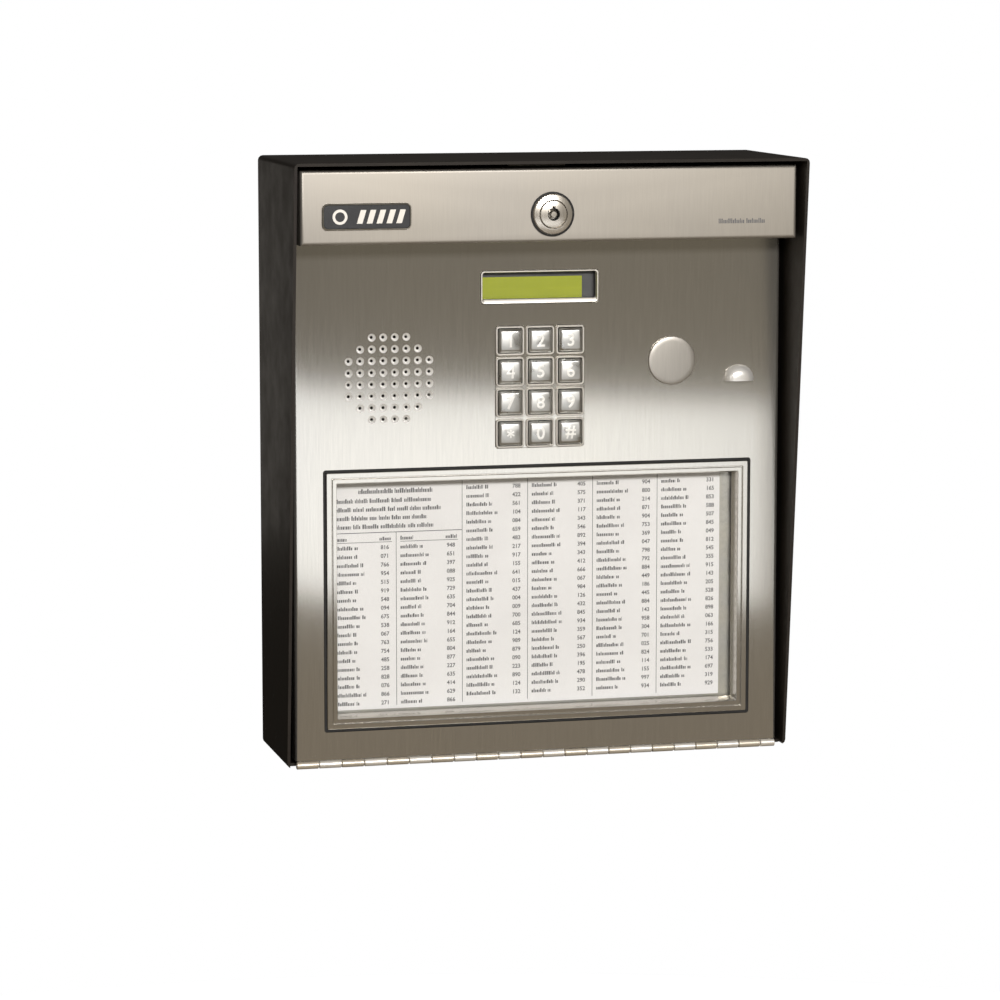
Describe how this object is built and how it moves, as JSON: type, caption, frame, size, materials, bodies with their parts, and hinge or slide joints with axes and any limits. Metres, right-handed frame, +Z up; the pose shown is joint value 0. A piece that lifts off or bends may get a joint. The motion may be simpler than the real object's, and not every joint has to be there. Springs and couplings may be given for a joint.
{
  "type": "door intercom panel",
  "caption": "Wall-mounted door intercom: hooded black cabinet with a hinged brushed-steel door carrying lock, display, keypad, speaker grille and directory window.",
  "frame": {"origin": "centre of the cabinet's flat back face, which lies on the wall", "axes": "+Z up, -Y out of the wall towards the visitor, +X to the right as seen from the front"},
  "size_m": [0.282, 0.108, 0.3283],
  "materials": {
    "aluminium_can": "drawn can",
    "badge": "dark, bright rim",
    "black_plastic": "moulded black",
    "board": "green solder mask",
    "brass": "turned",
    "brushed_stainless": "vertical brushed grain",
    "chrome": "polished",
    "clear_pane": "clear",
    "cone": "pressed paper cone",
    "display": "yellow-green display",
    "ferrite": "sintered ferrite",
    "hinge_steel": "bright rolled stainless",
    "paper": "printed list",
    "powder_coat": "satin powder coat, brown-black",
    "relay_plastic": "moulded blue",
    "rubber": "matt black",
    "silicone": "grey silicone",
    "terminal_plastic": "moulded green",
    "zinc": "zinc-plated steel, satin"
  },
  "bodies": {
    "cabinet": {"cabinet_shell": "powder_coat", "lock_catch": "zinc", "wire_bushing": "rubber", "main_board": "board", "board_spacer_1": "brass", "board_spacer_2": "brass", "board_spacer_3": "brass", "board_spacer_4": "brass", "terminal_row_left": "terminal_plastic", "terminal_row_right": "terminal_plastic", "relay_left": "relay_plastic", "relay_right": "relay_plastic", "line_transformer": "black_plastic", "ribbon_socket": "black_plastic", "hinge_leaf_cabinet": "hinge_steel", "hinge_pin": "hinge_steel"},
    "door": {"accessory_plug": "brushed_stainless", "badge_plate": "badge", "directory_back_plate": "zinc", "directory_clip_left": "zinc", "directory_clip_right": "zinc", "directory_frame": "brushed_stainless", "directory_gasket": "rubber", "directory_sheet": "paper", "directory_window": "clear_pane", "display_bezel": "brushed_stainless", "display_board": "board", "display_module": "display", "display_window": "clear_pane", "faceplate": "brushed_stainless", "header_strip": "brushed_stainless", "hinge_leaf_door": "hinge_steel", "keypad_bezel": "chrome", "keypad_board": "board", "keypad_mat": "silicone", "lock_housing": "chrome", "lock_nut": "zinc", "mic_capsule": "aluminium_can", "mic_hood": "chrome", "plug_nut": "zinc", "speaker_basket": "zinc", "speaker_cone": "cone", "speaker_gasket": "rubber", "speaker_magnet": "ferrite"},
    "lock_core": {"lock_plug": "chrome", "lock_cam": "zinc", "cam_screw": "zinc"},
    "key_0_cap": {"key_0": "chrome"},
    "key_1_cap": {"key_1": "chrome"},
    "key_2_cap": {"key_2": "chrome"},
    "key_3_cap": {"key_3": "chrome"},
    "key_4_cap": {"key_4": "chrome"},
    "key_5_cap": {"key_5": "chrome"},
    "key_6_cap": {"key_6": "chrome"},
    "key_7_cap": {"key_7": "chrome"},
    "key_8_cap": {"key_8": "chrome"},
    "key_9_cap": {"key_9": "chrome"},
    "key_hash_cap": {"key_hash": "chrome"},
    "key_star_cap": {"key_star": "chrome"}
  },
  "joints": [
    {"name": "door_hinge", "type": "hinge", "parent": "cabinet", "child": "door", "pos_m": [0, -0.0725, -0.1628], "axis": [1, 0, 0], "range_deg": [0, 110]},
    {"name": "lock_turn", "type": "hinge", "parent": "door", "child": "lock_core", "pos_m": [0, -0.0995, 0.1349], "axis": [0, -1, 0], "range_deg": [0, 90]},
    {"name": "key_0_press", "type": "slide", "parent": "door", "child": "key_0_cap", "axis": [0, 1, 0], "range_m": [0, 0.0015], "stiffness_N_per_m": 400},
    {"name": "key_1_press", "type": "slide", "parent": "door", "child": "key_1_cap", "axis": [0, 1, 0], "range_m": [0, 0.0015], "stiffness_N_per_m": 400},
    {"name": "key_2_press", "type": "slide", "parent": "door", "child": "key_2_cap", "axis": [0, 1, 0], "range_m": [0, 0.0015], "stiffness_N_per_m": 400},
    {"name": "key_3_press", "type": "slide", "parent": "door", "child": "key_3_cap", "axis": [0, 1, 0], "range_m": [0, 0.0015], "stiffness_N_per_m": 400},
    {"name": "key_4_press", "type": "slide", "parent": "door", "child": "key_4_cap", "axis": [0, 1, 0], "range_m": [0, 0.0015], "stiffness_N_per_m": 400},
    {"name": "key_5_press", "type": "slide", "parent": "door", "child": "key_5_cap", "axis": [0, 1, 0], "range_m": [0, 0.0015], "stiffness_N_per_m": 400},
    {"name": "key_6_press", "type": "slide", "parent": "door", "child": "key_6_cap", "axis": [0, 1, 0], "range_m": [0, 0.0015], "stiffness_N_per_m": 400},
    {"name": "key_7_press", "type": "slide", "parent": "door", "child": "key_7_cap", "axis": [0, 1, 0], "range_m": [0, 0.0015], "stiffness_N_per_m": 400},
    {"name": "key_8_press", "type": "slide", "parent": "door", "child": "key_8_cap", "axis": [0, 1, 0], "range_m": [0, 0.0015], "stiffness_N_per_m": 400},
    {"name": "key_9_press", "type": "slide", "parent": "door", "child": "key_9_cap", "axis": [0, 1, 0], "range_m": [0, 0.0015], "stiffness_N_per_m": 400},
    {"name": "key_hash_press", "type": "slide", "parent": "door", "child": "key_hash_cap", "axis": [0, 1, 0], "range_m": [0, 0.0015], "stiffness_N_per_m": 400},
    {"name": "key_star_press", "type": "slide", "parent": "door", "child": "key_star_cap", "axis": [0, 1, 0], "range_m": [0, 0.0015], "stiffness_N_per_m": 400}
  ]
}
